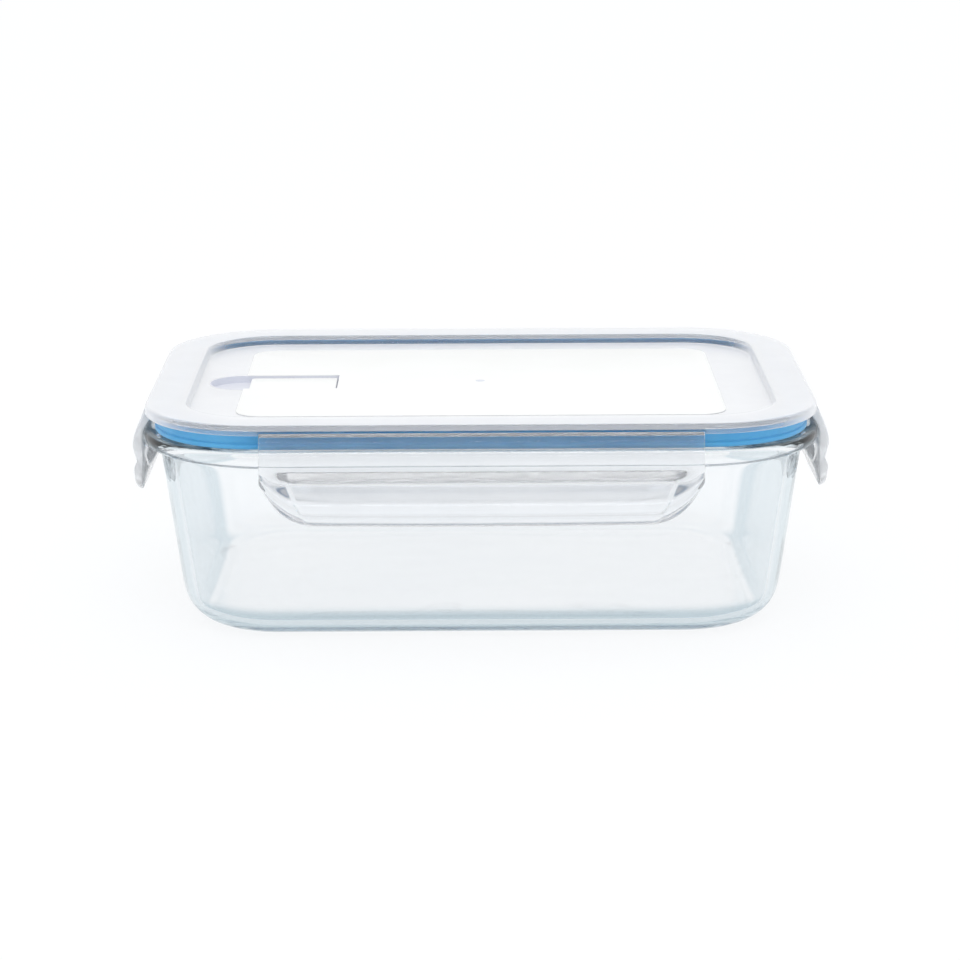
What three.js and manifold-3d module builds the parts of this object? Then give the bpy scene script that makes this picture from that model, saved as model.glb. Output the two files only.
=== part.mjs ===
// Rectangular glass food container with a four-latch snap lid.
// Millimetres, +Z up. The origin is the centre of the flat foot, X runs along the long side.
import * as THREE from 'three';
import { mergeVertices } from 'three/addons/utils/BufferGeometryUtils.js';
import Module from 'manifold-3d';

const wasm = await Module();
wasm.setup();

// ---- driving dimensions -------------------------------------------------------------------------------------

const gap = 0.3; // clearance between touching pieces
const cut = 1; // how far a cutting solid runs past what it cuts

// A rounded rectangle is a core rectangle, given by its half sizes, with a round border added all the way round.
const dish = {
  core: new THREE.Vector2(64, 34.4),
  rimRadius: 43.1,
  rimTop: 63.4,
  rimWidest: 60.6,
  rimBottom: 58,
  rimEdge: 2.4,
  wallTopRadius: 38.1,
  draft: THREE.MathUtils.degToRad(7.73),
  wall: 3.8,
  floor: 4.5,
  footFillet: 13.4,
  innerFillet: 10,
  lipEdge: 1.1,
};

const lid = {
  length: 212,
  width: 152.6,
  cornerRadius: 36.4,
  top: 72,
  flangeThickness: 1.8,
  edgeFillet: 1.2,
  skirtWidth: 2.4,
  skirtBottom: 68.6,
  flangeWidth: 13,
  step: 0.8,
  panelTop: 69,
  panelThickness: 1.8,
  plugOuter: 10.6,
  plugInner: 12.4,
  plugBottom: 61.4,
};

const label = { length: 156, width: 102, cornerRadius: 8, top: 69.3 };

const vent = {
  left: -88.5,
  right: -46.7,
  halfWidth: 10.3,
  floor: 66.9,
  underside: 65.2,
  wall: 1.5,
  flapLeft: -75.7,
  flapTop: 68.4,
  flapCorner: 1.2,
  holeX: -61,
  holeRadius: 3.1,
  sealRadius: 2.7,
};

const seal = { outer: 3, inner: 10.2, lip: 1.6, edge: 0.7 };

const latch = {
  frontHalfLength: 68,
  sideHalfLength: 38.5,
  thickness: 3.1,
  innerFace: 1.5,
  top: 69.8,
  cornerStart: 56,
  bottom: 41.3,
  cornerLength: 16,
  cornerRise: 1.2,
  recessTop: 54.5,
  recessBottom: 45.4,
  recessFloor: 3,
  recessMargin: 8.4,
  recessCorner: 7,
};

const cornerSteps = 10; // facets in each round corner

// ---- materials ----------------------------------------------------------------------------------------------

const clearGlass = () => new THREE.MeshStandardMaterial({ color: 0xe2eef0, roughness: 0.05, metalness: 0 });
const frostedPlastic = () => new THREE.MeshStandardMaterial({ color: 0xeaedf3, roughness: 0.35, metalness: 0 });
const blueSilicone = () => new THREE.MeshStandardMaterial({ color: 0x2f7fc4, roughness: 0.55, metalness: 0 });

// ---- solids -------------------------------------------------------------------------------------------------

// The closed solid of a geometry whose triangles face outwards.
function toSolid(geometry) {
  const bare = geometry.clone();
  bare.deleteAttribute('normal');
  bare.deleteAttribute('uv');
  const merged = mergeVertices(bare.index ? bare.toNonIndexed() : bare, 1e-4);
  const corners = merged.index.array;
  const kept = [];
  for (let i = 0; i < corners.length; i += 3) {
    const [a, b, c] = corners.slice(i, i + 3);
    if (a !== b && b !== c && c !== a) {
      kept.push(a, b, c);
    }
  }
  const vertProperties = new Float32Array(merged.attributes.position.array);
  return new wasm.Manifold(new wasm.Mesh({ numProp: 3, vertProperties, triVerts: new Uint32Array(kept) }));
}

function toMesh(name, solid, material) {
  const { vertProperties, triVerts } = solid.getMesh();
  const geometry = new THREE.BufferGeometry();
  geometry.setAttribute('position', new THREE.BufferAttribute(new Float32Array(vertProperties), 3));
  geometry.setIndex(new THREE.BufferAttribute(new Uint32Array(triVerts), 1));
  geometry.computeVertexNormals();
  const mesh = new THREE.Mesh(geometry, material);
  mesh.name = name;
  return mesh;
}

// A profile of (radius, height) points turned about Z and pushed out from the centre line by the core's half
// sizes, so its four round corners are joined by straight sides. The facets are widened to put those sides at
// their true places.
function turnRoundRectangle(profile, core) {
  const steps = 4 * cornerSteps;
  const halfStep = Math.PI / steps;
  const lathe = new THREE.LatheGeometry(profile, steps, halfStep);
  lathe.rotateX(Math.PI / 2);
  lathe.scale(1 / Math.cos(halfStep), 1 / Math.cos(halfStep), 1);
  const places = lathe.attributes.position;
  const axisWidth = 1e-6;
  for (let i = 0; i < places.count; i += 1) {
    const x = places.getX(i);
    const y = places.getY(i);
    if (Math.hypot(x, y) > axisWidth) {
      places.setXY(i, x + Math.sign(x) * core.x, y + Math.sign(y) * core.y);
    }
  }
  return toSolid(lathe);
}

function arc(x, z, radius, fromDegrees, toDegrees, steps) {
  const points = [];
  for (let i = 0; i <= steps; i += 1) {
    const angle = THREE.MathUtils.degToRad(THREE.MathUtils.lerp(fromDegrees, toDegrees, i / steps));
    points.push(new THREE.Vector2(x + radius * Math.cos(angle), z + radius * Math.sin(angle)));
  }
  return points;
}

// A plate whose outline lies in the XY plane, between two heights.
function plate(outline, bottom, top) {
  const slab = new THREE.ExtrudeGeometry(outline, { depth: top - bottom, bevelEnabled: false, curveSegments: 12 });
  return toSolid(slab.translate(0, 0, bottom));
}

function roundedOutline(length, width, radius) {
  const [x, y] = [length / 2, width / 2];
  const outline = new THREE.Shape();
  outline.absarc(x - radius, y - radius, radius, 0, Math.PI / 2);
  outline.absarc(radius - x, y - radius, radius, Math.PI / 2, Math.PI);
  outline.absarc(radius - x, radius - y, radius, Math.PI, 1.5 * Math.PI);
  outline.absarc(x - radius, radius - y, radius, 1.5 * Math.PI, 2 * Math.PI);
  return outline;
}

// ---- the dish -----------------------------------------------------------------------------------------------

// The outer wall's radius at a height, measured from the core like every profile.
const outerWall = (z) => dish.wallTopRadius - (dish.rimBottom - z) * Math.tan(dish.draft);

function glassDish() {
  const lean = THREE.MathUtils.radToDeg(dish.draft);
  const footX = outerWall(dish.footFillet) - dish.footFillet / Math.cos(dish.draft);
  const innerWall = (z) => outerWall(z) - dish.wall;
  const bowlZ = dish.floor + dish.innerFillet;
  const bowlX = innerWall(bowlZ) - dish.innerFillet / Math.cos(dish.draft);
  const edgeX = dish.rimRadius - dish.rimEdge;
  const lipX = innerWall(dish.rimTop) + dish.lipEdge;
  return turnRoundRectangle([
    new THREE.Vector2(0, 0),
    ...arc(footX, dish.footFillet, dish.footFillet, -90, -lean, 6),
    new THREE.Vector2(outerWall(dish.rimBottom), dish.rimBottom),
    ...arc(edgeX, dish.rimWidest, dish.rimEdge, -75, 0, 3),
    ...arc(edgeX, dish.rimTop - dish.rimEdge, dish.rimEdge, 20, 90, 3),
    ...arc(lipX, dish.rimTop - dish.lipEdge, dish.lipEdge, 90, 172, 3),
    ...arc(bowlX, bowlZ, dish.innerFillet, -lean, -90, 6),
    new THREE.Vector2(0, dish.floor),
  ], dish.core);
}

// ---- the lid and its seal -----------------------------------------------------------------------------------

const lidCore = new THREE.Vector2(lid.length / 2 - lid.cornerRadius, lid.width / 2 - lid.cornerRadius);
const flangeUnderside = lid.top - lid.flangeThickness;
const panelUnderside = lid.panelTop - lid.panelThickness;

// The radius of a profile point that lies this far in from the lid's edge.
const inFromEdge = (distance) => lid.cornerRadius - distance;

function lidBody() {
  const point = (distance, z) => new THREE.Vector2(inFromEdge(distance), z);
  const plugChamfer = 0.5;
  return turnRoundRectangle([
    new THREE.Vector2(0, panelUnderside),
    point(lid.plugInner, panelUnderside),
    point(lid.plugInner, lid.plugBottom),
    point(lid.plugOuter + plugChamfer, lid.plugBottom),
    point(lid.plugOuter, lid.plugBottom + plugChamfer),
    point(lid.plugOuter, flangeUnderside),
    point(lid.skirtWidth, flangeUnderside),
    point(lid.skirtWidth, lid.skirtBottom),
    point(0, lid.skirtBottom),
    ...arc(inFromEdge(lid.edgeFillet), lid.top - lid.edgeFillet, lid.edgeFillet, 0, 90, 3),
    point(lid.flangeWidth, lid.top),
    point(lid.flangeWidth + lid.step, lid.panelTop),
    new THREE.Vector2(0, lid.panelTop),
  ], lidCore);
}

// The vent recess is round at its left end and square at the hinge, larger all round by a margin.
function ventOutline(margin) {
  const radius = vent.halfWidth + margin;
  const outline = new THREE.Shape();
  outline.moveTo(vent.right + margin, -radius);
  outline.lineTo(vent.right + margin, radius);
  outline.absarc(vent.left + vent.halfWidth, 0, radius, Math.PI / 2, 1.5 * Math.PI);
  return outline;
}

function disc(radius, bottom, top) {
  const cylinder = new THREE.CylinderGeometry(radius, radius, top - bottom, 24);
  cylinder.rotateX(Math.PI / 2);
  return toSolid(cylinder.translate(vent.holeX, 0, (bottom + top) / 2));
}

// The slot in the lid's edge that one latch hangs in.
function latchSlot(halfLength) {
  const depth = lid.skirtWidth + cut;
  const width = 2 * halfLength + 2 * gap;
  const height = flangeUnderside - lid.skirtBottom + cut;
  const block = new THREE.BoxGeometry(width, depth, height);
  return block.translate(0, lid.skirtWidth - depth / 2, flangeUnderside - height / 2);
}

function lidShell() {
  const labelPlate = plate(roundedOutline(label.length, label.width, label.cornerRadius),
    lid.panelTop - lid.panelThickness / 2, label.top);
  let shell = lidBody()
    .add(labelPlate)
    .add(plate(ventOutline(vent.wall), vent.underside, lid.panelTop - gap))
    .subtract(plate(ventOutline(0), vent.floor, label.top + cut))
    .subtract(disc(vent.holeRadius, vent.underside - cut, vent.floor + cut));
  for (const side of latchSides) {
    shell = shell.subtract(toSolid(ontoSide(latchSlot(side.halfLength), side)));
  }
  return shell;
}

function gasket() {
  const [bottom, top] = [dish.rimTop + gap, flangeUnderside - gap];
  const point = (distance, z) => new THREE.Vector2(inFromEdge(distance), z);
  const { outer, inner, lip, edge } = seal;
  const profile = [
    point(outer + edge, bottom),
    point(outer, bottom + edge),
    point(outer, bottom + lip),
    point(outer + edge, bottom + lip + edge / 2),
    point(outer + edge / 2, bottom + lip + edge),
    point(outer + edge / 2, top - edge),
    point(outer + edge, top),
    point(inner, top),
    point(inner, bottom + lip),
    point(inner - lip, bottom),
  ];
  return turnRoundRectangle([...profile, profile[0]], lidCore);
}

// ---- the vent flap ------------------------------------------------------------------------------------------

function ventFlap() {
  const [left, right] = [vent.flapLeft, vent.right - 2 * gap];
  const side = vent.halfWidth - gap;
  const corner = vent.flapCorner;
  const outline = new THREE.Shape();
  outline.moveTo(right, -side);
  outline.lineTo(right, side);
  outline.lineTo(left + corner, side);
  outline.lineTo(left, side - corner);
  outline.lineTo(left, corner - side);
  outline.lineTo(left + corner, -side);
  return plate(outline, vent.floor + gap, vent.flapTop);
}

const ventSeal = () => disc(vent.sealRadius, vent.underside, vent.floor);

// ---- the latches --------------------------------------------------------------------------------------------

// A latch is made as the front one: its length along X, and outwards along -Y from the lid's edge at Y = 0.
const latchSides = [
  { name: 'front_latch', halfLength: latch.frontHalfLength, turn: 0, reach: lid.width / 2 },
  { name: 'right_latch', halfLength: latch.sideHalfLength, turn: Math.PI / 2, reach: lid.length / 2 },
  { name: 'back_latch', halfLength: latch.frontHalfLength, turn: Math.PI, reach: lid.width / 2 },
  { name: 'left_latch', halfLength: latch.sideHalfLength, turn: -Math.PI / 2, reach: lid.length / 2 },
];

function ontoSide(geometry, side) {
  return geometry.translate(0, -side.reach, 0).rotateZ(side.turn);
}

// The latch's section, as distances out from the lid's edge and heights: the outer face bulges round the rim,
// pulls in above the finger lip and turns out again, and the inner face stands just clear of the rim.
function latchSection() {
  const face = latch.innerFace;
  const bulge = face + latch.thickness;
  const outline = new THREE.Shape();
  outline.moveTo(0.2, latch.top);
  outline.lineTo(1.7, latch.top - 3.7);
  outline.lineTo(3.2, latch.top - 6.9);
  outline.lineTo(bulge - 0.3, latch.top - 10.2);
  outline.lineTo(bulge, latch.top - 12.8);
  outline.lineTo(bulge - 0.25, latch.top - 15.6);
  outline.lineTo(3.75, latch.bottom + 9.7);
  outline.lineTo(3.2, latch.bottom + 7.3);
  outline.lineTo(3.9, latch.bottom + 5.1);
  outline.lineTo(4.1, latch.bottom + 3.1);
  outline.lineTo(3.7, latch.bottom + 1);
  outline.lineTo(2.9, latch.bottom);
  outline.lineTo(1.9, latch.bottom + 0.6);
  outline.lineTo(face, latch.bottom + 2.6);
  outline.lineTo(face, latch.top - 9);
  outline.lineTo(0.9, latch.top - 7);
  outline.lineTo(-1.2, latch.top - 3.9);
  outline.lineTo(-1.8, latch.top - 3.1);
  outline.lineTo(-1.5, latch.top - 1.9);
  outline.lineTo(-0.4, latch.top - 0.5);
  return outline;
}

// Both views of a latch are cut from the same block: its section, swept along X, and its outline from the front.
function latchSolid(halfLength) {
  const sweep = new THREE.ExtrudeGeometry(latchSection(), { depth: 2 * halfLength, bevelEnabled: false });
  sweep.translate(0, 0, -halfLength);
  sweep.applyMatrix4(new THREE.Matrix4().makeBasis(
    new THREE.Vector3(0, -1, 0),
    new THREE.Vector3(0, 0, 1),
    new THREE.Vector3(-1, 0, 0),
  ));

  const lowCorner = latch.bottom + latch.cornerRise;
  const [endX, cornerX] = [halfLength + cut, halfLength - latch.cornerLength];
  const rest = new THREE.Shape();
  rest.moveTo(-endX, latch.cornerStart);
  rest.lineTo(-halfLength, latch.cornerStart);
  rest.bezierCurveTo(3 - halfLength, latch.cornerStart - 9, 7 - halfLength, lowCorner, -cornerX, lowCorner);
  rest.quadraticCurveTo(0, latch.bottom - latch.cornerRise, cornerX, lowCorner);
  rest.bezierCurveTo(halfLength - 7, lowCorner, halfLength - 3, latch.cornerStart - 9, halfLength, latch.cornerStart);
  rest.lineTo(endX, latch.cornerStart);
  rest.lineTo(endX, latch.bottom - 2 * cut);
  rest.lineTo(-endX, latch.bottom - 2 * cut);

  const recessX = halfLength - latch.recessMargin;
  const recess = new THREE.Shape();
  recess.moveTo(-recessX, latch.recessTop);
  recess.lineTo(1 - recessX, latch.recessBottom + latch.recessCorner);
  recess.quadraticCurveTo(2 - recessX, latch.recessBottom, latch.recessCorner - recessX, latch.recessBottom);
  recess.lineTo(recessX - latch.recessCorner, latch.recessBottom);
  recess.quadraticCurveTo(recessX - 2, latch.recessBottom, recessX - 1, latch.recessBottom + latch.recessCorner);
  recess.lineTo(recessX, latch.recessTop);

  const acrossY = (shape, from, to) => {
    const block = new THREE.ExtrudeGeometry(shape, { depth: to - from, bevelEnabled: false, curveSegments: 6 });
    return toSolid(block.rotateX(Math.PI / 2).translate(0, -from, 0));
  };
  return toSolid(sweep)
    .subtract(acrossY(rest, -3 * cut, latch.innerFace + latch.thickness + cut))
    .subtract(acrossY(recess, latch.recessFloor, latch.innerFace + latch.thickness + cut));
}

function latchMesh(side) {
  const mesh = toMesh(side.name, latchSolid(side.halfLength), frostedPlastic());
  mesh.geometry = ontoSide(mesh.geometry, side);
  return mesh;
}

// ---- assembly -----------------------------------------------------------------------------------------------

const container = new THREE.Group();
container.add(toMesh('glass_dish', glassDish(), clearGlass()));
container.add(toMesh('lid_shell', lidShell(), frostedPlastic()));
container.add(toMesh('gasket', gasket(), blueSilicone()));
container.add(toMesh('vent_flap', ventFlap(), frostedPlastic()));
container.add(toMesh('vent_seal', ventSeal(), blueSilicone()));
for (const side of latchSides) {
  container.add(latchMesh(side));
}

export default container;
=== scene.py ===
import math

import bmesh
import bpy
from mathutils import Matrix, Vector


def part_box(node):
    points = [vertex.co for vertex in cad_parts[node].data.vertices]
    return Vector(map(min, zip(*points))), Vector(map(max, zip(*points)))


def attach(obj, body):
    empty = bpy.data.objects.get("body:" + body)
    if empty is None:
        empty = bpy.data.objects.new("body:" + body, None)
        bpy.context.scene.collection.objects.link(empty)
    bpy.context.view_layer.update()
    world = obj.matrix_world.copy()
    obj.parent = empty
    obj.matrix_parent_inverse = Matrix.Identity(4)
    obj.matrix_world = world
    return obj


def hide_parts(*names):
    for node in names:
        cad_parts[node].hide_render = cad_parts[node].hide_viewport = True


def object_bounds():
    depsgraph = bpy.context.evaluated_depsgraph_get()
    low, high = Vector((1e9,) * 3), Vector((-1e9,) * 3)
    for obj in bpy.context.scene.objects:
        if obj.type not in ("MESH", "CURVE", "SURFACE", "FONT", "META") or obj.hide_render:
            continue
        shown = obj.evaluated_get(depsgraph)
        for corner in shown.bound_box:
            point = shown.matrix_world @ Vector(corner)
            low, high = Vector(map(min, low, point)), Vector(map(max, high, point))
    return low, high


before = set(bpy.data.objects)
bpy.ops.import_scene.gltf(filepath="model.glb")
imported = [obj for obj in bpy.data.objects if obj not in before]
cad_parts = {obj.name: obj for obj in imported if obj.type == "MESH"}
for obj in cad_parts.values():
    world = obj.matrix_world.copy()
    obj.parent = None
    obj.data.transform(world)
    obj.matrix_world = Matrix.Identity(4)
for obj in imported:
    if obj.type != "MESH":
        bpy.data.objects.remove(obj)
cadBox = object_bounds()
scene = bpy.context.scene
mm = 0.001

cameraSettings = {
    "lens": 112.6,
    "sensor": 36.0,
    "distance": 0.9958,
    "elevation": 14.06,  # degrees
    "yaw": -0.217,
    "roll": -0.258,
    "aimOffset": (-0.00025, 0.0, -0.0004),  # from the middle of the object
}


def setCamera(look):
    middle = (cadBox[0] + cadBox[1]) / 2
    aim = middle + Vector(look["aimOffset"])
    elevation, yaw, roll = (math.radians(look[key]) for key in ("elevation", "yaw", "roll"))
    level = math.cos(elevation)
    back = Vector((math.sin(yaw) * level, -math.cos(yaw) * level, math.sin(elevation)))
    right = (-back).cross(Vector((0, 0, 1))).normalized()
    up = right.cross(-back)
    rolledRight = right * math.cos(roll) + up * math.sin(roll)
    rolledUp = up * math.cos(roll) - right * math.sin(roll)
    data = bpy.data.cameras.new("benchCamera")
    data.lens = look["lens"]
    data.sensor_width = look["sensor"]
    data.clip_start = 0.01
    data.clip_end = 50
    camera = bpy.data.objects.new("benchCamera", data)
    scene.collection.objects.link(camera)
    turn = Matrix((rolledRight, rolledUp, back)).transposed().to_4x4()
    camera.matrix_world = Matrix.Translation(aim + back * look["distance"]) @ turn
    scene.camera = camera


setCamera(cameraSettings)
print("camera set")

studioSettings = {
    "floorSize": 24.0,
    "floorGlow": 0.95,
    "floorColour": (0.93, 0.94, 0.95, 1),
    "frontSky": (0.80, 0.84, 0.89, 1),
    "sideSky": (0.60, 0.66, 0.72, 1),
    "backSky": (1.0, 1.0, 1.0, 1),
    "topSky": (1.0, 1.0, 1.0, 1),
    "topLamp": 0.3,
    "topLampSize": (0.9, 0.9),
    "topLampPlace": (0, 0.15, 0.9),
    "stripLamp": 2.6,
    "stripSize": (1.3, 0.1),
    "stripPlace": (0, -0.85, 1.05),
    "lampAim": (0, 0, 0.03),
    "skyFront": 0.12,  # where each tone stands, from the front (0) to the back (1)
    "skySide": 0.58,
    "skyBack": 0.88,
    "overhead": (0.35, 0.9),  # from this height the top tone takes over
    "floorDrop": 0.0002,
}


def setWorld(look):
    world = bpy.data.worlds.new("paleStudio")
    world.use_nodes = True
    nodes, links = world.node_tree.nodes, world.node_tree.links
    background = nodes["Background"]
    place = nodes.new("ShaderNodeTexCoord")
    split = nodes.new("ShaderNodeSeparateXYZ")
    links.new(place.outputs["Generated"], split.inputs[0])
    depth = nodes.new("ShaderNodeMapRange")
    depth.inputs["From Min"].default_value = -1
    links.new(split.outputs["Y"], depth.inputs["Value"])
    ramp = nodes.new("ShaderNodeValToRGB")
    ramp.color_ramp.interpolation = "EASE"
    ramp.color_ramp.elements[0].color = look["frontSky"]
    ramp.color_ramp.elements[0].position = look["skyFront"]
    ramp.color_ramp.elements[1].color = look["backSky"]
    ramp.color_ramp.elements[1].position = look["skyBack"]
    side = ramp.color_ramp.elements.new(look["skySide"])
    side.color = look["sideSky"]
    links.new(depth.outputs[0], ramp.inputs[0])
    height = nodes.new("ShaderNodeMapRange")
    height.interpolation_type = "SMOOTHSTEP"
    height.inputs["From Min"].default_value = look["overhead"][0]
    height.inputs["From Max"].default_value = look["overhead"][1]
    links.new(split.outputs["Z"], height.inputs["Value"])
    overhead = nodes.new("ShaderNodeMix")
    overhead.data_type = "RGBA"
    links.new(height.outputs[0], overhead.inputs["Factor"])
    links.new(ramp.outputs[0], overhead.inputs["A"])
    overhead.inputs["B"].default_value = look["topSky"]
    links.new(overhead.outputs["Result"], background.inputs["Color"])
    scene.world = world


def setFloor(look):
    half = look["floorSize"] / 2
    mesh = bpy.data.meshes.new("paleFloor")
    corners = [(-half, -half, 0), (half, -half, 0), (half, half, 0), (-half, half, 0)]
    mesh.from_pydata(corners, [], [(0, 1, 2, 3)])
    floor = bpy.data.objects.new("paleFloor", mesh)
    floor.location.z = cadBox[0].z - look["floorDrop"]
    scene.collection.objects.link(floor)
    card = bpy.data.materials.new("paleCard")
    card.use_nodes = True
    shader = card.node_tree.nodes["Principled BSDF"]
    shader.inputs["Base Color"].default_value = (0.12, 0.12, 0.12, 1)
    shader.inputs["Roughness"].default_value = 1
    shader.inputs["Specular IOR Level"].default_value = 0
    shader.inputs["Emission Color"].default_value = look["floorColour"]
    shader.inputs["Emission Strength"].default_value = look["floorGlow"]
    mesh.materials.append(card)


def addSoftbox(name, energy, size, place, aim):
    data = bpy.data.lights.new(name, "AREA")
    data.energy = energy
    data.shape = "RECTANGLE"
    data.size, data.size_y = size
    lamp = bpy.data.objects.new(name, data)
    lamp.location = place
    lamp.rotation_euler = (Vector(aim) - Vector(place)).to_track_quat("-Z", "Y").to_euler()
    scene.collection.objects.link(lamp)


def setLamps(look):
    aim = look["lampAim"]
    addSoftbox("topSoftbox", look["topLamp"], look["topLampSize"], look["topLampPlace"], aim)
    addSoftbox("frontStrip", look["stripLamp"], look["stripSize"], look["stripPlace"], aim)


setWorld(studioSettings)
setFloor(studioSettings)
setLamps(studioSettings)
scene.view_settings.view_transform = "Standard"
scene.cycles.max_bounces = 40
scene.cycles.transmission_bounces = 40
scene.cycles.glossy_bounces = 40  # light runs a long way inside the glass floor
scene.cycles.diffuse_bounces = 5
scene.cycles.transparent_max_bounces = 24
print("studio lit")


def newFinish(name):
    finish = bpy.data.materials.new(name)
    finish.use_nodes = True
    return finish, finish.node_tree.nodes, finish.node_tree.links, finish.node_tree.nodes["Principled BSDF"]


def addNoise(nodes, links, scale, detail=2.0, roughness=0.5, stretch=(1, 1, 1)):
    place = nodes.new("ShaderNodeTexCoord")
    mapping = nodes.new("ShaderNodeMapping")
    mapping.inputs["Scale"].default_value = stretch
    links.new(place.outputs["Object"], mapping.inputs["Vector"])
    noise = nodes.new("ShaderNodeTexNoise")
    noise.inputs["Scale"].default_value = scale
    noise.inputs["Detail"].default_value = detail
    noise.inputs["Roughness"].default_value = roughness
    links.new(mapping.outputs[0], noise.inputs["Vector"])
    return noise


def addRamp(nodes, links, source, dark, light, low=0.35, high=0.65):
    ramp = nodes.new("ShaderNodeValToRGB")
    ramp.color_ramp.elements[0].color = (*dark, 1)
    ramp.color_ramp.elements[1].color = (*light, 1)
    ramp.color_ramp.elements[0].position = low
    ramp.color_ramp.elements[1].position = high
    links.new(source, ramp.inputs[0])
    return ramp


def addRange(nodes, links, source, low, high):
    spread = nodes.new("ShaderNodeMapRange")
    spread.inputs["From Min"].default_value = 0.3
    spread.inputs["From Max"].default_value = 0.7
    spread.inputs["To Min"].default_value = low
    spread.inputs["To Max"].default_value = high
    links.new(source, spread.inputs["Value"])
    return spread


def addBump(nodes, links, source, shader, strength, distance):
    bump = nodes.new("ShaderNodeBump")
    bump.inputs["Strength"].default_value = strength
    bump.inputs["Distance"].default_value = distance
    links.new(source, bump.inputs["Height"])
    links.new(bump.outputs[0], shader.inputs["Normal"])


def addSpan(nodes, links, source, fromLow, fromHigh, toLow, toHigh):
    span = nodes.new("ShaderNodeMapRange")
    span.interpolation_type = "SMOOTHSTEP"
    for key, value in zip(("From Min", "From Max", "To Min", "To Max"), (fromLow, fromHigh, toLow, toHigh)):
        span.inputs[key].default_value = value
    links.new(source, span.inputs["Value"])
    return span.outputs[0]


def addMath(nodes, links, operation, *sources):
    step = nodes.new("ShaderNodeMath")
    step.operation = operation
    for socket, source in zip(step.inputs, sources):
        links.new(source, socket)
    return step.outputs[0]


glassSettings = {
    "ior": 1.474,
    "tint": ((0.965, 0.975, 0.984), (0.978, 0.985, 0.991)),
    # painted shade, with the deeper glass: the grey that the glass turns to along its walls and on its outer
    # foot
    "depthShadeTint": (0.56, 0.66, 0.71, 1),
    "edge": (0.45, 0.68),  # from where a wall counts as seen along itself
    "foot": (0.0075, 0.0125),  # metres over the bottom
    "flat": (0.82, 0.95),
    "smear": 0.03,
    "ripple": 0.12,
    "rippleDepth": 0.004,
    "absorbed": (0.65, 0.76, 0.80, 1),
    "density": 5,
}


# How deep and how shaded the glass looks, as a grey tint: most where a wall is seen along itself (the deeper
# glass, with painted shade) and in the thick foot (painted shade on its outer curve, standing for the shaded
# floor seen through it), least on flat faces.
def glassDepthAndShade(nodes, links, look):
    edge = nodes.new("ShaderNodeLayerWeight")
    edge.inputs["Blend"].default_value = 0.5
    along = addSpan(nodes, links, edge.outputs["Facing"], *look["edge"], 0, 1)
    place = nodes.new("ShaderNodeTexCoord")
    height = nodes.new("ShaderNodeSeparateXYZ")
    links.new(place.outputs["Object"], height.inputs[0])
    foot = addSpan(nodes, links, height.outputs["Z"], *look["foot"], 1, 0)
    surface = nodes.new("ShaderNodeNewGeometry")
    slope = nodes.new("ShaderNodeSeparateXYZ")
    links.new(surface.outputs["Normal"], slope.inputs[0])
    flatness = addMath(nodes, links, "ABSOLUTE", slope.outputs["Z"])
    upright = addSpan(nodes, links, flatness, *look["flat"], 1, 0)
    # the foot's outer curve looks down, and gets painted shade there
    outside = addSpan(nodes, links, slope.outputs["Z"], -0.3, -0.1, 1, 0)
    footShade = addMath(nodes, links, "MULTIPLY", foot, outside)
    depthAndShade = addMath(nodes, links, "MAXIMUM", along, footShade)
    return addMath(nodes, links, "MULTIPLY", depthAndShade, upright)


def clearGlass(look):
    finish, nodes, links, shader = newFinish("clearPressedGlass")
    shader.inputs["Transmission Weight"].default_value = 1
    shader.inputs["IOR"].default_value = look["ior"]
    cloud = addNoise(nodes, links, 14, 2)
    tint = addRamp(nodes, links, cloud.outputs[0], *look["tint"])
    # painted shade: the glass tint is mixed towards that grey along the walls and on the outer foot
    depthShadeMix = nodes.new("ShaderNodeMix")
    depthShadeMix.data_type = "RGBA"
    depthShadeMix.inputs["B"].default_value = look["depthShadeTint"]
    links.new(glassDepthAndShade(nodes, links, look), depthShadeMix.inputs["Factor"])
    links.new(tint.outputs[0], depthShadeMix.inputs["A"])
    links.new(depthShadeMix.outputs["Result"], shader.inputs["Base Color"])
    smear = addNoise(nodes, links, 40, 4)
    polish = addRange(nodes, links, smear.outputs[0], 0.0, look["smear"])
    links.new(polish.outputs[0], shader.inputs["Roughness"])
    ripple = addNoise(nodes, links, 22, 1, stretch=(1, 1, 0.4))  # the slow waves that a press leaves
    addBump(nodes, links, ripple.outputs[0], shader, look["ripple"], look["rippleDepth"])
    depth = nodes.new("ShaderNodeVolumeAbsorption")
    depth.inputs["Color"].default_value = look["absorbed"]
    depth.inputs["Density"].default_value = look["density"]
    links.new(depth.outputs[0], nodes["Material Output"].inputs["Volume"])
    return finish


lidPlastic = {
    "clear": 0.9,  # how much light passes where the plastic is seen squarely
    "hazy": 0.15,  # and where it is seen at a slant
    "roughness": 0.14,
    "tint": ((0.88, 0.888, 0.915), (0.9, 0.908, 0.93)),
    "ior": 1.49,
}
latchPlastic = {
    "clear": 0.97,
    "hazy": 0.3,
    "roughness": 0.11,
    "tint": ((0.95, 0.955, 0.965), (0.965, 0.97, 0.98)),
    "ior": 1.49,
}
shortLatchPlastic = {
    **latchPlastic,
    "clear": 0.95,
    "roughness": 0.12,
    "whiteFrom": 0.0362,  # metres from the middle of the latch
    "whiteOver": 0.0015,
    "white": 0.38,
}


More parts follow.
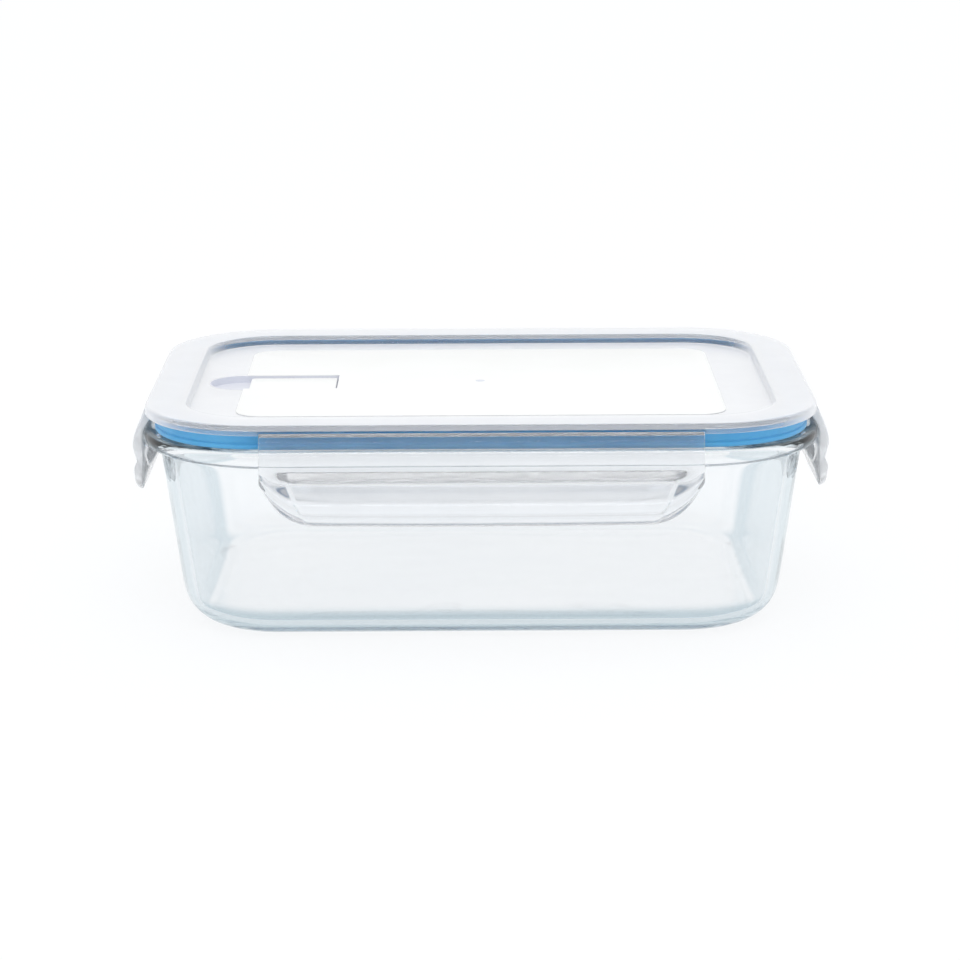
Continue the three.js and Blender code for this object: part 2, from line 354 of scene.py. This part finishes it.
def frostedPlastic(name, look):
    finish, nodes, links, shader = newFinish(name)
    cloud = addNoise(nodes, links, 60, 3)
    tint = addRamp(nodes, links, cloud.outputs[0], *look["tint"])
    links.new(tint.outputs[0], shader.inputs["Base Color"])
    shader.inputs["IOR"].default_value = look["ior"]
    satin = addNoise(nodes, links, 110, 2, 0.5)
    polish = addRange(nodes, links, satin.outputs[0], look["roughness"] - 0.03, look["roughness"] + 0.04)
    links.new(polish.outputs[0], shader.inputs["Roughness"])
    addBump(nodes, links, satin.outputs[0], shader, 0.012, 0.0002)
    # a slanted look passes through more of the cloudy plastic
    edge = nodes.new("ShaderNodeLayerWeight")
    edge.inputs["Blend"].default_value = 0.5
    haze = nodes.new("ShaderNodeMapRange")
    haze.inputs["From Min"].default_value = 0.2
    haze.inputs["From Max"].default_value = 0.75
    haze.inputs["To Min"].default_value = look["clear"]
    haze.inputs["To Max"].default_value = look["hazy"]
    links.new(edge.outputs["Facing"], haze.inputs["Value"])
    through = haze.outputs[0]
    if "whiteFrom" in look:  # the cut ends of a latch are whiter, since they are seen along its whole length
        place = nodes.new("ShaderNodeTexCoord")
        split = nodes.new("ShaderNodeSeparateXYZ")
        links.new(place.outputs["Object"], split.inputs[0])
        outwards = addMath(nodes, links, "ABSOLUTE", split.outputs["Y"])
        whiteTo = look["whiteFrom"] + look["whiteOver"]
        whiteEnd = addSpan(nodes, links, outwards, look["whiteFrom"], whiteTo, 1, look["white"])
        through = addMath(nodes, links, "MULTIPLY", through, whiteEnd)
    links.new(through, shader.inputs["Transmission Weight"])
    return finish


satinTints = {
    "satinLabel": ((0.955, 0.955, 0.935), (0.975, 0.975, 0.96)),
    # painted shade: the vent bed is the label's white, darkened to a lilac grey for its recess
    "satinVentBedShaded": ((0.73, 0.74, 0.81), (0.77, 0.78, 0.84)),
}


def satinWhite(name):
    finish, nodes, links, shader = newFinish(name)
    cloud = addNoise(nodes, links, 35, 3)
    tint = addRamp(nodes, links, cloud.outputs[0], *satinTints[name])
    links.new(tint.outputs[0], shader.inputs["Base Color"])
    grain = addNoise(nodes, links, 1400, 2, 0.6)
    polish = addRange(nodes, links, grain.outputs[0], 0.42, 0.55)
    links.new(polish.outputs[0], shader.inputs["Roughness"])
    addBump(nodes, links, grain.outputs[0], shader, 0.05, 0.0002)
    return finish


siliconeSettings = {
    "ior": 1.41,
    "tint": ((0.08, 0.40, 0.73), (0.115, 0.45, 0.78)),
    "glow": 0.25,  # light that wanders inside the soft rubber
    "glowReach": 0.002,
    "sheen": 0.15,
}


def blueSilicone(look):
    finish, nodes, links, shader = newFinish("blueSilicone")
    cloud = addNoise(nodes, links, 90, 3)
    tint = addRamp(nodes, links, cloud.outputs[0], *look["tint"])
    links.new(tint.outputs[0], shader.inputs["Base Color"])
    shader.inputs["IOR"].default_value = look["ior"]
    shader.inputs["Subsurface Weight"].default_value = look["glow"]
    shader.inputs["Subsurface Radius"].default_value = (0.2, 0.5, 1.0)
    shader.inputs["Subsurface Scale"].default_value = look["glowReach"]
    shader.inputs["Sheen Weight"].default_value = look["sheen"]
    grain = addNoise(nodes, links, 700, 3, 0.6)
    polish = addRange(nodes, links, grain.outputs[0], 0.38, 0.52)
    links.new(polish.outputs[0], shader.inputs["Roughness"])
    addBump(nodes, links, grain.outputs[0], shader, 0.1, 0.0002)
    return finish


glassFinish = clearGlass(glassSettings)
lidFinish = frostedPlastic("frostedLid", lidPlastic)
latchFinish = frostedPlastic("frostedLatch", latchPlastic)
shortLatchFinish = frostedPlastic("frostedShortLatch", shortLatchPlastic)
labelFinish = satinWhite("satinLabel")
shadedBedFinish = satinWhite("satinVentBedShaded")
siliconeFinish = blueSilicone(siliconeSettings)
print("finishes mixed")

cornerSteps = 8  # sides of a round corner before it is smoothed
leastHold = 0.002  # metres of straight edge kept beside a corner


# One ring of a rounded rectangle: a core rectangle with a round border. The points stand on the border's
# tangents, so the smoothed surface comes out at the true radius.
def roundRing(core, radius, height):
    halfStep = math.pi / 4 / cornerSteps
    reach = radius / math.cos(halfStep)
    hold = max(radius * math.tan(halfStep), leastHold)
    ring = []
    for corner, (signX, signY) in enumerate(((1, 1), (-1, 1), (-1, -1), (1, -1))):
        middle = Vector((signX * core[0], signY * core[1], height))
        start = corner * math.pi / 2
        along = Vector((math.cos(start), math.sin(start), 0))
        across = Vector((-math.sin(start), math.cos(start), 0))
        ring.append(middle + along * radius - across * hold)
        for step in range(cornerSteps):
            angle = start + halfStep * (2 * step + 1)
            ring.append(middle + Vector((math.cos(angle), math.sin(angle), 0)) * reach)
        ring.append(middle + across * radius - along * hold)
    return ring


# Points on the tangents of an arc, so that it too comes out at its true radius.
def tangentArc(x, z, radius, fromDegrees, toDegrees, count):
    span = math.radians(toDegrees - fromDegrees) / count
    reach = radius / math.cos(span / 2)
    angles = [math.radians(fromDegrees) + span * (i + 0.5) for i in range(count)]
    return [(x + reach * math.cos(a), z + reach * math.sin(a)) for a in angles]


def makePiece(name, points, faces, finish):
    mesh = bpy.data.meshes.new(name)
    mesh.from_pydata([tuple(p) for p in points], [], faces)
    shell = bmesh.new()
    shell.from_mesh(mesh)
    bmesh.ops.recalc_face_normals(shell, faces=shell.faces)
    shell.to_mesh(mesh)
    shell.free()
    mesh.shade_smooth()
    mesh.materials.append(finish)
    piece = bpy.data.objects.new(name, mesh)
    scene.collection.objects.link(piece)
    return piece


# A cage of rings, one for each (radius, height) of a profile in millimetres.
def ringCage(name, core, profile, finish, closed=False):
    rings = [roundRing(core, radius * mm, height * mm) for radius, height in profile]
    count = len(rings[0])
    faces = []
    for i in range(len(rings) if closed else len(rings) - 1):
        j = (i + 1) % len(rings)
        for k in range(count):
            n = (k + 1) % count
            faces.append((i * count + k, i * count + n, j * count + n, j * count + k))
    if not closed:
        faces.append(tuple(reversed(range(count))))
        faces.append(tuple((len(rings) - 1) * count + k for k in range(count)))
    return makePiece(name, [p for ring in rings for p in ring], faces, finish)


def smoothCage(piece):
    smooth = piece.modifiers.new("smooth", "SUBSURF")
    smooth.levels = smooth.render_levels = 2
    smooth.boundary_smooth = "PRESERVE_CORNERS"


# A flat outline between two heights, with its long edges rounded by a bevel.
def outlinePlate(name, outline, bottom, top, finish, bevel=0.0):
    count = len(outline)
    points = [(x, y, bottom) for x, y in outline] + [(x, y, top) for x, y in outline]
    faces = [tuple(reversed(range(count))), tuple(range(count, 2 * count))]
    faces += [(k, (k + 1) % count, (k + 1) % count + count, k + count) for k in range(count)]
    piece = makePiece(name, points, faces, finish)
    if bevel:
        roundOff = piece.modifiers.new("roundOff", "BEVEL")
        roundOff.width = bevel
        roundOff.segments = 3
        roundOff.limit_method = "ANGLE"
        roundOff.angle_limit = math.radians(50)
    return piece


# A piece turned about Z, from the (radius, height) points of its section, the top ones first.
def turnedPiece(name, section, steps, finish):
    mesh = bpy.data.meshes.new(name)
    mesh.from_pydata([(x, 0, z) for x, z in section], [(i, i + 1) for i in range(len(section) - 1)], [])
    mesh.materials.append(finish)
    piece = bpy.data.objects.new(name, mesh)
    scene.collection.objects.link(piece)
    turn = piece.modifiers.new("turn", "SCREW")
    turn.steps = turn.render_steps = steps
    turn.use_merge_vertices = True
    turn.merge_threshold = 0.00001
    return piece


def settle(piece):
    bpy.context.view_layer.update()
    graph = bpy.context.evaluated_depsgraph_get()
    made = bpy.data.meshes.new_from_object(piece.evaluated_get(graph), depsgraph=graph)
    old = piece.data
    piece.modifiers.clear()
    piece.data = made
    made.name = piece.name
    bpy.data.meshes.remove(old)


def carve(piece, helper, operation):
    step = piece.modifiers.new("carve", "BOOLEAN")
    step.operation = operation
    step.solver = "EXACT"
    step.object = helper
    settle(piece)
    bpy.data.objects.remove(helper)


def mount(piece, body, node=None):
    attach(piece, body)
    if node:
        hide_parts(node)


def arcOutline(x, y, radius, fromDegrees, toDegrees, count):
    angles = [math.radians(fromDegrees + (toDegrees - fromDegrees) * i / count) for i in range(count + 1)]
    return [(x + radius * math.cos(a), y + radius * math.sin(a)) for a in angles]


def roundedOutline(halfX, halfY, radius, count):
    outline = []
    for corner, (signX, signY) in enumerate(((1, 1), (-1, 1), (-1, -1), (1, -1))):
        x, y = signX * (halfX - radius), signY * (halfY - radius)
        outline += arcOutline(x, y, radius, corner * 90, corner * 90 + 90, count)
    return outline


dishSettings = {
    "core": (64, 34.4),  # millimetres, as every size in these lists
    "rimWidest": 60.6,
    "rimBottom": 58,
    "rimEdge": 2.4,
    "wallTop": 38.1,
    "draft": 7.73,
    "wall": 3.8,
    "floor": 4.5,
    "footFillet": 13.4,
    "innerFillet": 7,
    "lipEdge": 1.1,
    "hold": 1.6,
    "flat": (14, 4),  # inwards from where a fillet ends
    "outerHolds": (18, 36, 54),  # heights of the rings that keep the walls straight
    "innerHolds": (38, 19),
    "neck": ((0.05, -0.35), (0.7, 0.1)),  # where the wall turns out into the rim
}


def makeDish(size):
    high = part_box("glass_dish")[1]
    core = [value * mm for value in size["core"]]
    rimRadius = (high.x - core[0]) / mm
    rimTop = high.z / mm
    lean, slope = size["draft"], math.tan(math.radians(size["draft"]))
    cosine = math.cos(math.radians(lean))
    outer = lambda z: size["wallTop"] - (size["rimBottom"] - z) * slope
    inner = lambda z: outer(z) - size["wall"]
    foot, bowl = size["footFillet"], size["innerFillet"]
    lip, edge, hold = size["lipEdge"], size["rimEdge"], size["hold"]
    footX = outer(foot) - foot / cosine
    bowlZ = size["floor"] + bowl
    bowlX = inner(bowlZ) - bowl / cosine
    edgeX = rimRadius - edge
    lipX = inner(rimTop) + lip
    far, near = size["flat"]
    profile = [(footX - far, 0), (footX - near, 0)]
    profile += tangentArc(footX, foot, foot, -90, -lean, 5)
    profile += [(outer(z), z) for z in size["outerHolds"]]
    profile += [(outer(size["rimBottom"]) + out, size["rimBottom"] + up) for out, up in size["neck"]]
    profile += tangentArc(edgeX, size["rimWidest"], edge, -80, 0, 3)
    profile += tangentArc(edgeX, rimTop - edge, edge, 0, 90, 3)
    profile += [((edgeX + lipX) / 2, rimTop)]
    profile += tangentArc(lipX, rimTop - lip, lip, 90, 180 - lean, 3)
    profile += [(inner(z), z) for z in (rimTop - lip - hold, *size["innerHolds"])]
    profile += tangentArc(bowlX, bowlZ, bowl, -lean, -90, 5)
    profile += [(bowlX - near, size["floor"]), (bowlX - far, size["floor"])]
    piece = ringCage("dish_glass", core, profile, glassFinish)
    smoothCage(piece)
    mount(piece, "dish", "glass_dish")


makeDish(dishSettings)
print("dish pressed")

lidSettings = {
    "corner": 36.4,
    "flange": 1.8,
    "edge": 1.2,
    "skirt": 2.4,
    "skirtBottom": 68.6,
    "flangeWidth": 13,
    "step": 0.8,
    "panelTop": 69,
    "panel": 1.8,
    "plugOuter": 10.6,
    "plugInner": 12.4,
    "plugBottom": 61.4,
    "hold": 0.35,
}

labelSettings = {"half": (77.2, 51), "corner": 8, "top": 69.3, "bevel": 0.12}

gateSettings = {
    "radius": 1.5,
    "sunk": 0.05,  # into the label
    "section": ((0, 0.17), (0.75, 0.15), (1, 0.08), (1, 0), (0, 0)),  # share of the radius, height
    "steps": 32,
}

ventSettings = {
    "left": -88.5,
    "right": -46.7,
    "half": 10.3,
    "floor": 66.9,
    "underside": 65.2,
    "wall": 1.5,
    "holeX": -61,
    "hole": 3.1,
    "holeHeights": (60, 68),
    "margin": 0.3,
    "liner": 0.5,
    "cutTop": 72,  # well above the lid's panel
}


def ventOutline(vent, margin):
    half = vent["half"] + margin
    left, right = vent["left"] + vent["half"], vent["right"] + margin
    outline = [(right, -half), (right, half)] + arcOutline(left, 0, half, 90, 270, 28)
    return [(x * mm, y * mm) for x, y in outline]


def ventCutter(vent):
    outline = ventOutline(vent, 0)
    return outlinePlate("ventCutter", outline, vent["floor"] * mm, vent["cutTop"] * mm, lidFinish)


def makeLid(size, vent):
    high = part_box("lid_shell")[1]
    corner = size["corner"]
    core = (high.x - corner * mm, high.y - corner * mm)
    top, hold, edge = high.z / mm, size["hold"], size["edge"]
    under = top - size["flange"]
    panelUnder = size["panelTop"] - size["panel"]
    at = lambda inset, z: (corner - inset, z)
    plugIn, plugOut, plugLow = size["plugInner"], size["plugOuter"], size["plugBottom"]
    stepIn, stepOut = size["flangeWidth"] + size["step"], size["flangeWidth"]
    skirt, skirtLow, panelTop = size["skirt"], size["skirtBottom"], size["panelTop"]
    profile = [
        at(plugIn + 12, panelUnder), at(plugIn + 4, panelUnder), at(plugIn + 0.8, panelUnder),
        at(plugIn + hold / 2, panelUnder - hold / 2), at(plugIn, panelUnder - 0.8),
        at(plugIn, plugLow + 0.8), at(plugIn, plugLow + hold), at(plugIn - hold, plugLow),
        at(plugOut + 2 * hold, plugLow), at(plugOut, plugLow + 2 * hold), at(plugOut, plugLow + 2),
        at(plugOut, under - 0.8), at(plugOut - hold / 2, under - hold / 2), at(plugOut - 0.8, under),
        at(skirt + 0.8, under), at(skirt + hold / 2, under - hold / 2), at(skirt, under - 0.6),
        at(skirt, skirtLow + hold), at(skirt - hold, skirtLow), at(hold, skirtLow), at(0, skirtLow + hold),
        at(0, (skirtLow + top) / 2),
    ]
    profile += tangentArc(corner - edge, top - edge, edge, 0, 90, 3)
    profile += [
        at(edge + 1.2, top), at(6, top), at(stepOut - 1.2, top), at(stepOut - 0.3, top - 0.02),
        at(stepOut + 0.1, top - 0.35), at(stepIn - 0.2, panelTop + 0.5), at(stepIn + 0.15, panelTop + 0.04),
        at(stepIn + 1.2, panelTop), at(stepIn + 6, panelTop), at(stepIn + 12, panelTop),
    ]
    piece = ringCage("lid_plate", core, profile, lidFinish)
    smoothCage(piece)
    settle(piece)
    boss = outlinePlate("ventBoss", ventOutline(vent, vent["wall"]), vent["underside"] * mm,
                        (panelTop - 0.6) * mm, lidFinish)
    carve(piece, boss, "UNION")
    sunk = vent["liner"] / 2
    bed = outlinePlate("ventBed", ventOutline(vent, sunk), (vent["floor"] - sunk) * mm, top * mm, lidFinish)
    carve(piece, bed, "DIFFERENCE")
    carve(piece, ventHole(vent), "DIFFERENCE")
    for side in latchSides:
        reach = (size["skirt"] + 1) * mm
        length = side["half"] + vent["margin"] * mm
        opening = [(-length, -mm), (length, -mm), (length, reach), (-length, reach)]
        slot = outlinePlate("latchSlot", opening, (skirtLow - 1) * mm, under * mm, lidFinish)
        slot.data.transform(sidePlace(side) @ Matrix.Translation((0, -mm, 0)))
        carve(piece, slot, "DIFFERENCE")
    piece.data.set_sharp_from_angle(angle=math.radians(38))
    mount(piece, "lid", "lid_shell")


def ventHole(vent):
    hole = arcOutline(vent["holeX"] * mm, 0, vent["hole"] * mm, 0, 360 - 360 / 32, 31)
    bottom, top = vent["holeHeights"]
    return outlinePlate("ventHole", hole, bottom * mm, top * mm, lidFinish)


def makeLabel(size, vent):
    outline = roundedOutline(size["half"][0] * mm, size["half"][1] * mm, size["corner"] * mm, 10)
    piece = outlinePlate("label_plate", outline, (lidSettings["panelTop"] + 0.005) * mm, size["top"] * mm,
                         labelFinish, size["bevel"] * mm)
    carve(piece, ventCutter(vent), "DIFFERENCE")
    piece.data.set_sharp_from_angle(angle=math.radians(38))
    mount(piece, "lid")


# The bed of the vent recess, the label's white with painted shade: a floor and a thin wall round it.
def makeBed(vent):
    floor = vent["floor"] - vent["liner"]
    piece = outlinePlate("vent_bed", ventOutline(vent, vent["liner"]), floor * mm,
                         (lidSettings["panelTop"] + 0.05) * mm, shadedBedFinish, 0.05 * mm)
    carve(piece, ventCutter(vent), "DIFFERENCE")
    carve(piece, ventHole(vent), "DIFFERENCE")
    piece.data.set_sharp_from_angle(angle=math.radians(38))
    mount(piece, "lid")


# The small round mark that the mould's gate leaves in the middle of the label.
def makeGateMark(gate, label):
    low = label["top"] - gate["sunk"]
    section = [(part * gate["radius"] * mm, (low + up) * mm) for part, up in gate["section"]]
    piece = turnedPiece("gate_mark", section, gate["steps"], shadedBedFinish)
    mount(piece, "lid")


# Each latch is made as the front one, along X and outwards along -Y, then turned onto its side.
latchNames = {"front_latch": 0, "right_latch": 90, "back_latch": 180, "left_latch": -90}


def latchSide(name, turn):
    low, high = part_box(name)
    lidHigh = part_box("lid_shell")[1]
    lengthwise = 0 if turn % 180 == 0 else 1
    return {
        "name": name,
        "turn": math.radians(turn),
        "half": (high[lengthwise] - low[lengthwise]) / 2,
        "reach": lidHigh[1 - lengthwise],
        "top": high.z,
        "bottom": low.z,
    }


def sidePlace(side):
    return Matrix.Rotation(side["turn"], 4, "Z") @ Matrix.Translation((0, -side["reach"], 0))


latchSides = [latchSide(name, turn) for name, turn in latchNames.items()]
makeLid(lidSettings, ventSettings)
makeLabel(labelSettings, ventSettings)
makeBed(ventSettings)
makeGateMark(gateSettings, labelSettings)
print("lid moulded")

sealSettings = {"outer": 3, "inner": 10.2, "lip": 1.6, "edge": 0.7}


def makeSeal(size):
    low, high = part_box("gasket")
    corner = lidSettings["corner"]
    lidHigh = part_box("lid_shell")[1]
    core = (lidHigh.x - corner * mm, lidHigh.y - corner * mm)
    bottom, top = low.z / mm, high.z / mm
    outer, inner, lip, edge = (size[key] for key in ("outer", "inner", "lip", "edge"))
    at = lambda inset, z: (corner - inset, z)
    profile = [
        at(outer + edge, bottom), at(outer + 0.15, bottom + 0.2), at(outer, bottom + edge),
        at(outer, bottom + lip - 0.2), at(outer + 0.1, bottom + lip),
        at(outer + edge, bottom + lip + edge / 2), at(outer + edge / 2, bottom + lip + edge),
        at(outer + edge / 2, bottom + lip + 2 * edge),
        at(outer + edge / 2, top - edge), at(outer + edge / 2, top - 0.15), at(outer + edge, top),
        at((outer + inner) / 2, top), at(inner - edge, top), at(inner, top - 0.1), at(inner, top - edge),
        at(inner, bottom + lip + edge), at(inner, bottom + lip), at(inner - lip, bottom + 0.1),
        at(inner - lip - edge, bottom), at((outer + inner) / 2, bottom),
    ]
    piece = ringCage("seal_ring", core, profile, siliconeFinish, closed=True)
    smoothCage(piece)
    mount(piece, "lid", "gasket")


makeSeal(sealSettings)
print("seal laid")

latchSettings = {
    # outwards from the lid's edge, and down from the latch's top:
    # the outer face, the outer face in the recess, the inner face
    "section": (
        ((0.35, 0.1), (0.35, 0.1), (-0.35, 0.45)),
        ((0.75, 1.2), (0.75, 1.2), (-1.1, 1.2)),
        ((1.65, 3.6), (1.65, 3.6), (-1.7, 2.2)),
        ((3.2, 6.9), (3.2, 6.9), (-1.75, 3.1)),
        ((4.25, 10.0), (4.25, 10.0), (-1.2, 4.0)),
        ((4.6, 12.6), (4.6, 12.6), (0.3, 6.0)),
        ((4.55, 14.3), (4.55, 14.3), (1.1, 7.5)),
        ((4.45, 15.0), (4.4, 15.1), (1.5, 9.2)),
        ((4.35, 15.6), (3.1, 15.4), (1.5, 11.0)),
        ((4.1, 17.2), (3.0, 16.3), (1.3, 12.0)),
        ((3.75, 18.9), (3.0, 19.8), (0.7, 12.6)),
        ((3.3, 21.3), (3.0, 23.9), (-2.1, 14.9)),
        ((3.7, 22.9), (3.05, 24.9), (-2.6, 15.9)),
        ((4.3, 24.3), (4.1, 25.2), (-2.3, 17.0)),
        ((4.5, 25.6), (4.45, 25.9), (-0.4, 20.0)),
        ((4.4, 26.9), (4.4, 27.0), (1.0, 23.0)),
        ((3.8, 27.9), (3.8, 27.9), (1.6, 26.2)),
        ((3.0, 28.4), (3.0, 28.4), (2.2, 28.0)),
    ),
    "split": 11.0,  # what is lower than this follows the bowed bottom edge
    "corner": {"long": (16, 13.5), "short": (6, 7)},  # length and height of a bottom corner
    "cornerPower": 3.1,
    "bow": 0.5,
    "longer": 0.9,
    "innerFace": 1.5,
    "hookRise": (2.5, 0.45),  # how the hook grows inwards along a bottom corner
    "recessEnd": 8.4,
    "recessSlant": 3.2,
    "slantHeights": (15, 9.4),  # from this depth, over this depth
    "slantReach": 8,
    "stations": (0, 0.45, 2.0, 4.0, 6.2, 7.8, 8.4, 9.3, 10.2, 13, 17, 24),
}


def makeLatch(side, size):
    half, top = side["half"] / mm, side["top"] / mm
    full = (side["top"] - side["bottom"]) / mm
    split = size["split"]
    isLong = half > 50
    corner, cornerHigh = size["corner"]["long" if isLong else "short"]
    hookGain, hookLag = size["hookRise"]
    slantFrom, slantOver = size["slantHeights"]

    def lowEdge(inward):  # the bottom edge's height over its lowest point
        if inward < corner:
            return size["bow"] + cornerHigh * (1 - inward / corner) ** size["cornerPower"]
        fromMiddle = (half - inward) / (half - corner)
        return size["bow"] * fromMiddle ** 2

    inwards = [a for a in size["stations"] if a < half - 4]
    columns = [(a, -1) for a in inwards] + [(half, 0)] + [(a, 1) for a in reversed(inwards)]
    points = []
    for inward, sign in columns:
        outerRow, innerRow = [], []
        squeeze = (full + size["longer"] - split - lowEdge(inward)) / (full - split)
        inRecess = inward > size["recessEnd"] + 0.5
        hook = max(0.0, min(1.0, hookGain * inward / corner - hookLag))
        for plain, recessed, inside in size["section"]:
            out, down = recessed if inRecess else plain
            lean = max(0.0, down - slantFrom) / slantOver
            near = max(0.0, 1 - abs(inward - size["recessEnd"]) / size["slantReach"])
            shift = size["recessSlant"] * lean ** 1.5 * near
            x = sign * (half - inward - shift * (inward > 0)) if sign else 0.0
            below = split + (down - split) * squeeze if down > split else down
            outerRow.append(Vector((x, -out, top - below)) * mm)
            insideOut, down = inside
            below = split + (down - split) * squeeze if down > split else down
            if down > split and insideOut < size["innerFace"]:
                insideOut = size["innerFace"] + (insideOut - size["innerFace"]) * hook
            innerRow.append(Vector((sign * (half - inward), -insideOut, top - below)) * mm)
        points += outerRow + list(reversed(innerRow))
    rows = len(size["section"])
    ring = 2 * rows
    faces = []
    for c in range(len(columns) - 1):
        for k in range(ring):
            n = (k + 1) % ring
            faces.append((c * ring + k, c * ring + n, (c + 1) * ring + n, (c + 1) * ring + k))
    for c in (0, len(columns) - 1):
        for k in range(rows - 1):
            faces.append((c * ring + k, c * ring + k + 1, c * ring + ring - 2 - k, c * ring + ring - 1 - k))
    place = sidePlace(side)
    finish = latchFinish if isLong else shortLatchFinish
    piece = makePiece(side["name"] + "_bar", [place @ p for p in points], faces, finish)
    smoothCage(piece)
    mount(piece, side["name"], side["name"])


for side in latchSides:
    makeLatch(side, latchSettings)
print("latches hung")

flapSettings = {"bevel": 0.3, "corner": 1.6}
plugSettings = {"edge": 0.25, "steps": 48}


def makeFlap(size):
    low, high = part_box("vent_flap")
    corner = size["corner"] * mm
    outline = [(high.x, low.y), (high.x, high.y)]
    outline += arcOutline(low.x + corner, high.y - corner, corner, 90, 180, 6)
    outline += arcOutline(low.x + corner, low.y + corner, corner, 180, 270, 6)
    piece = outlinePlate("vent_flap_tab", outline, low.z, high.z, labelFinish, size["bevel"] * mm)
    mount(piece, "vent_flap", "vent_flap")


def makePlug(size):
    low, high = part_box("vent_seal")
    radius, middle = (high.x - low.x) / 2, (low.x + high.x) / 2
    edge = size["edge"] * mm
    section = [
        (0.0, high.z), (radius - edge, high.z), (radius, high.z - edge),
        (radius, low.z + edge), (radius - edge, low.z), (0.0, low.z),
    ]
    piece = turnedPiece("vent_plug", section, size["steps"], siliconeFinish)
    settle(piece)
    piece.data.transform(Matrix.Translation((middle, 0, 0)))
    mount(piece, "vent_flap", "vent_seal")


makeFlap(flapSettings)
makePlug(plugSettings)
print("vent closed")
